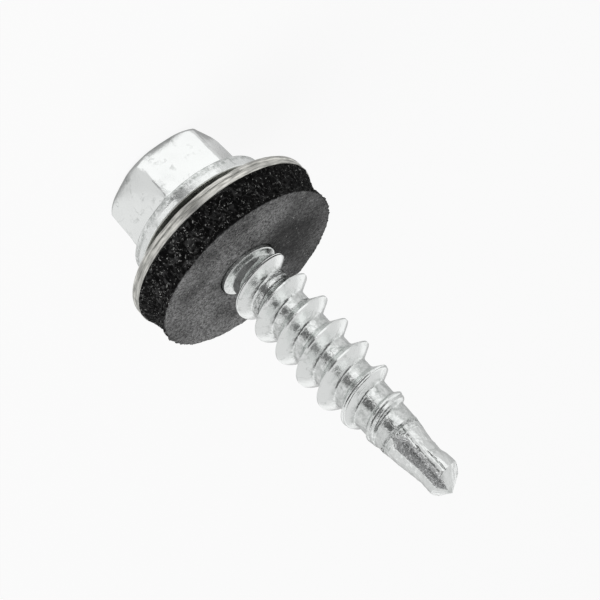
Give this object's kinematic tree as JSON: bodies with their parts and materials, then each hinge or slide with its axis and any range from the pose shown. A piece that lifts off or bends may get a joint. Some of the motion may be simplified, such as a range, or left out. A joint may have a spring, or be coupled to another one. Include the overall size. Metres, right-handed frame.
{
  "type": "self drilling screw",
  "caption": "Hex flange head self drilling screw with a coarse thread, a fluted drill point and a captive steel and rubber sealing washer.",
  "frame": {"origin": "middle of the flat top of the hexagon head, where the screw stands on its head", "axes": "+Z along the screw from the head to the drill point, +X through a corner of the hexagon"},
  "size_m": [0.014, 0.014, 0.0296],
  "materials": {
    "zinc_steel": "bright zinc plated carbon steel",
    "washer_steel": "zinc plated sheet steel with a stamped edge",
    "seal_rubber": "black EPDM rubber, moulded face and rough cut edge"
  },
  "bodies": {
    "screw_body": {"screw": "zinc_steel"},
    "sealing_washer": {"washer": "washer_steel", "seal": "seal_rubber"}
  },
  "joints": [
    {"name": "washer_spin", "type": "hinge", "parent": "screw_body", "child": "sealing_washer", "pos_m": [0, 0, 0.0065], "axis": [0, 0, 1], "continuous": true}
  ]
}
